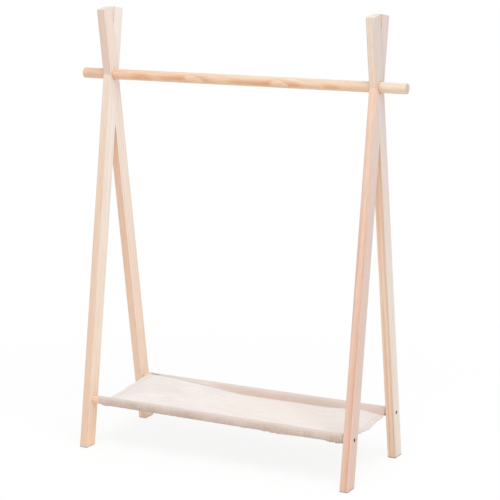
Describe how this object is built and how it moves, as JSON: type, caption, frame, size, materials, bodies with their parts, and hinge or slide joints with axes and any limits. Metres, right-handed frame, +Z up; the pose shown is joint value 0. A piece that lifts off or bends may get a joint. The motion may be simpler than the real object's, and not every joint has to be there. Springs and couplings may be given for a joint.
{
  "type": "open frame wardrobe",
  "caption": "Open clothes rack in pale wood: end frames of crossed legs carry a round hanging rod, and low rods between the legs hold a canvas sling shelf.",
  "frame": {"origin": "on the floor under the middle of the rack", "axes": "+X along the hanging rod to the right seen from the front, +Y to the back, +Z up"},
  "size_m": [1.089, 0.4016, 1.3625],
  "materials": {
    "leg_pine": "matt",
    "rod_pine": "satin",
    "shelf_rod_pine": "matt",
    "screw_steel": "black",
    "sleeve_canvas": "woven",
    "panel_canvas": "woven"
  },
  "bodies": {
    "frame": {"left_front_leg": "leg_pine", "left_rear_leg": "leg_pine", "right_front_leg": "leg_pine", "right_rear_leg": "leg_pine", "front_shelf_rod": "shelf_rod_pine", "rear_shelf_rod": "shelf_rod_pine", "left_front_screw": "screw_steel", "left_rear_screw": "screw_steel", "right_front_screw": "screw_steel", "right_rear_screw": "screw_steel"},
    "rod": {"hanging_rod": "rod_pine"},
    "canvas": {"canvas_front_sleeve": "sleeve_canvas", "canvas_rear_sleeve": "sleeve_canvas", "canvas_panel": "panel_canvas", "canvas_left_hem": "panel_canvas", "canvas_right_hem": "panel_canvas"}
  },
  "joints": [
    {"name": "rod_turn", "type": "hinge", "parent": "frame", "child": "rod", "pos_m": [0, 0, 1.15498], "axis": [1, 0, 0], "continuous": true},
    {"name": "canvas_shift", "type": "slide", "parent": "frame", "child": "canvas", "axis": [1, 0, 0], "range_m": [-0.021, 0.0065]}
  ]
}
